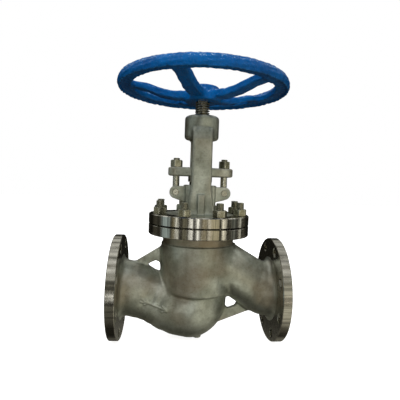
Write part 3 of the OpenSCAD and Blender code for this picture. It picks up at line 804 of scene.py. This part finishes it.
def surroundings():
    """A dim workshop-like surround for the metal to reflect: tall lights round the sides, strips overhead."""
    world = bpy.data.worlds.new("world")
    bpy.context.scene.world = world
    world.use_nodes = True
    tree = world.node_tree
    tree.nodes.clear()

    def node(kind, **settings):
        made = tree.nodes.new(kind)
        for key, value in settings.items():
            setattr(made, key, value)
        return made

    def math_node(operation, a, b=None):
        made = node("ShaderNodeMath", operation=operation)
        for socket, value in zip(made.inputs, (a, b)):
            if isinstance(value, bpy.types.NodeSocket):
                tree.links.new(value, socket)
            elif value is not None:
                socket.default_value = value
        return made.outputs[0]

    def ramp(source, stops):
        made = node("ShaderNodeValToRGB")
        elements = made.color_ramp.elements
        while len(elements) < len(stops):
            elements.new(0.5)
        for element, (place, rgb) in zip(elements, stops):
            element.position, element.color = place, (*rgb, 1.0)
        tree.links.new(source, made.inputs[0])
        return made.outputs[0]

    def mix(kind, fac, a, b):
        made = node("ShaderNodeMix", data_type="RGBA", blend_type=kind)
        made.inputs[0].default_value = fac if isinstance(fac, float) else 0.0
        if not isinstance(fac, float):
            tree.links.new(fac, made.inputs[0])
        for socket, value in ((made.inputs[6], a), (made.inputs[7], b)):
            if isinstance(value, tuple):
                socket.default_value = (*value, 1.0)
            else:
                tree.links.new(value, socket)
        return made.outputs[2]

    direction = node("ShaderNodeTexCoord").outputs["Generated"]
    parts = node("ShaderNodeSeparateXYZ")
    tree.links.new(direction, parts.inputs[0])
    x, y, z = parts.outputs
    azimuth = math_node("ARCTAN2", x, math_node("MULTIPLY", y, -1.0))
    turn = math_node("ADD", math_node("DIVIDE", azimuth, 2 * math.pi), 0.5)
    rise = math_node("ADD", math_node("DIVIDE", math_node("ARCSINE", z), math.pi), 0.5)

    def bars(lights, dim):
        """Stops for a ramp over the azimuth: dim between lights of (azimuth, half width, colour)."""
        stops = [(0.0, dim)]
        for place, half, rgb in lights:
            at, wide = place / 360 + 0.5, half / 360
            stops += [(at - wide - 0.004, dim), (at - wide, rgb), (at + wide, rgb), (at + wide + 0.004, dim)]
        return stops

    broad = ramp(turn, bars([(-82, 11, (0.40, 0.48, 0.49)), (-62, 4, (0.22, 0.19, 0.11)),
                             (-33, 3, (0.36, 0.34, 0.24)), (8, 6, (0.34, 0.29, 0.19)),
                             (33, 9, (0.58, 0.52, 0.36)), (82, 7, (0.17, 0.18, 0.16))],
                            (0.060, 0.056, 0.042)))
    lines = ramp(turn, bars([(-53, 1.6, (1.8, 1.8, 1.7)), (-20, 1.5, (3.4, 3.4, 3.3)),
                             (-5, 1.5, (3.4, 3.4, 3.3)), (20, 1.0, (1.6, 1.5, 1.3)),
                             (54, 2.4, (2.2, 2.1, 1.8)), (102, 2.2, (1.0, 1.0, 0.9))],
                            (0.0, 0.0, 0.0)))
    around = mix("ADD", 1.0, broad, lines)
    below = ramp(rise, [(0.0, (0.05, 0.045, 0.035)), (0.12, (0.07, 0.065, 0.05)), (0.18, (0.42, 0.40, 0.33)),
                        (0.36, (0.60, 0.58, 0.48)), (0.40, (0.14, 0.13, 0.10)), (0.42, (0.08, 0.075, 0.05))])
    from_right = ramp(turn, [(0.36, (0.25, 0.25, 0.25)), (0.42, (0.65, 0.65, 0.65)),
                             (0.44, (0.18, 0.18, 0.18)), (0.485, (0.20, 0.20, 0.20)),
                             (0.505, (1.05, 1.05, 1.05)), (0.69, (1.05, 1.05, 1.05)),
                             (0.80, (0.4, 0.4, 0.4))])
    below = mix("MULTIPLY", 1.0, below, from_right)
    middle = ramp(turn, [(0.20, (0.05, 0.05, 0.04)), (0.25, (0.30, 0.32, 0.31)),
                         (0.37, (0.30, 0.32, 0.31)), (0.395, (0.07, 0.065, 0.05)),
                         (0.482, (0.07, 0.065, 0.05)), (0.50, (0.66, 0.65, 0.56)),
                         (0.63, (0.66, 0.64, 0.54)), (0.66, (0.30, 0.30, 0.26)),
                         (0.78, (0.28, 0.28, 0.25)), (0.81, (0.05, 0.05, 0.04))])
    above = ramp(rise, [(0.60, (0.12, 0.115, 0.09)), (0.645, (0.12, 0.115, 0.09)), (0.65, (0.66, 0.66, 0.62)),
                        (0.69, (0.66, 0.66, 0.62)), (0.695, (0.20, 0.19, 0.16)), (0.725, (0.20, 0.19, 0.16)),
                        (0.73, (0.95, 0.96, 0.94)), (0.785, (0.95, 0.96, 0.94)), (0.79, (0.26, 0.25, 0.22)),
                        (0.835, (0.28, 0.27, 0.24)), (0.84, (0.85, 0.86, 0.84)), (0.885, (0.80, 0.80, 0.78)),
                        (0.89, (0.18, 0.18, 0.16)), (0.925, (0.18, 0.18, 0.16)), (0.93, (0.9, 0.9, 0.88)),
                        (1.0, (0.9, 0.9, 0.88))])
    level = mix("MIX", ramp(rise, [(0.41, (0, 0, 0)), (0.43, (1, 1, 1))]), below, around)
    level = mix("MIX", ramp(rise, [(0.490, (0, 0, 0)), (0.500, (1, 1, 1))]), level, middle)
    seen = mix("MIX", ramp(rise, [(0.59, (0, 0, 0)), (0.63, (1, 1, 1))]), level, above)
    wall = ramp(y, [(0.50, (1, 1, 1)), (0.66, (0.22, 0.22, 0.22))])
    open_sky = ramp(y, [(0.50, (1, 1, 1)), (0.66, (0.85, 0.85, 0.85))])
    off_level = ramp(rise, [(0.36, (1, 1, 1)), (0.42, (0, 0, 0)), (0.58, (0, 0, 0)), (0.64, (1, 1, 1))])
    behind = mix("MIX", off_level, wall, open_sky)
    seen = mix("MULTIPLY", 1.0, seen, behind)
    glow = node("ShaderNodeBackground")
    tree.links.new(seen, glow.inputs["Color"])
    glow.inputs["Strength"].default_value = 1.0
    plain = node("ShaderNodeBackground")
    plain.inputs["Color"].default_value = (1, 1, 1, 1)
    path = node("ShaderNodeLightPath")
    choose = node("ShaderNodeMixShader")
    output = node("ShaderNodeOutputWorld")
    tree.links.new(path.outputs["Is Camera Ray"], choose.inputs[0])
    tree.links.new(glow.outputs[0], choose.inputs[1])
    tree.links.new(plain.outputs[0], choose.inputs[2])
    tree.links.new(choose.outputs[0], output.inputs[0])


def floor():
    """A plain pale floor that takes nothing from the light on the underside of the metal."""
    z = CAD_BOX[0][2]
    mesh = bpy.data.meshes.new("floor")
    mesh.from_pydata([(-6, -6, z), (6, -6, z), (6, 6, z), (-6, 6, z)], [], [(0, 1, 2, 3)])
    plane = bpy.data.objects.new("floor", mesh)
    bpy.context.scene.collection.objects.link(plane)
    plane.visible_diffuse = plane.visible_glossy = plane.visible_shadow = False
    m = Material("floor")
    m.fixed(Metallic=0.0, Specular_IOR_Level=0.0, Roughness=1.0, Emission_Strength=0.86)
    m.shader.inputs["Emission Color"].default_value = (1, 1, 1, 1)
    m.shader.inputs["Base Color"].default_value = (0.8, 0.8, 0.8, 1)
    mesh.materials.append(m.material)


LAMPS = [("key", (-0.45, -1.3, 1.3), (0.5, 0.5), 10.0),
         ("fill", (1.3, -1.2, 0.5), (0.4, 0.9), 3.0),
         ("top", (0.1, 0.2, 1.8), (0.7, 0.7), 5.0),
         ("back", (0.7, 1.5, 0.9), (0.6, 0.6), 9.0)]


def lights():
    """Soft lamps that only the matt part of a surface sees; gloss reflects only the surround."""
    for name, place, size, power in LAMPS:
        area_light(name, place, (STEM_X * MM, 0, 0.15), size, power).visible_glossy = False


bpy.context.scene.view_settings.view_transform = "Standard"
STEEL = {
    "cast": cast_steel(),
    "rim_x": turned_steel("rim_x", "x", (0.50, 0.48, 0.41), (0.66, 0.64, 0.57), 0.15, 0.24),
    "rim_z": turned_steel("rim_z", "z", (0.50, 0.48, 0.41), (0.66, 0.64, 0.57), 0.12, 0.20),
    "turned": turned_steel("turned", "z", (0.55, 0.54, 0.50), (0.70, 0.69, 0.65), 0.20, 0.32),
    "stem": turned_steel("stem_steel", "z", (0.42, 0.39, 0.28), (0.78, 0.74, 0.62), 0.20, 0.30, True),
    "bronze": turned_steel("bronze", "z", (0.48, 0.36, 0.17), (0.62, 0.50, 0.28), 0.25, 0.35),
    "bolt": bolting(),
    "paint": wheel_paint(),
    "graphite": graphite(),
}
camera()
surroundings()
floor()
lights()
body_casting()
end_flange("inlet_flange", -1)
end_flange("outlet_flange", 1)
joint_flanges()
bonnet_casting()
bonnet_bolting()
gland()
stem()
handwheel()
dress_cad()
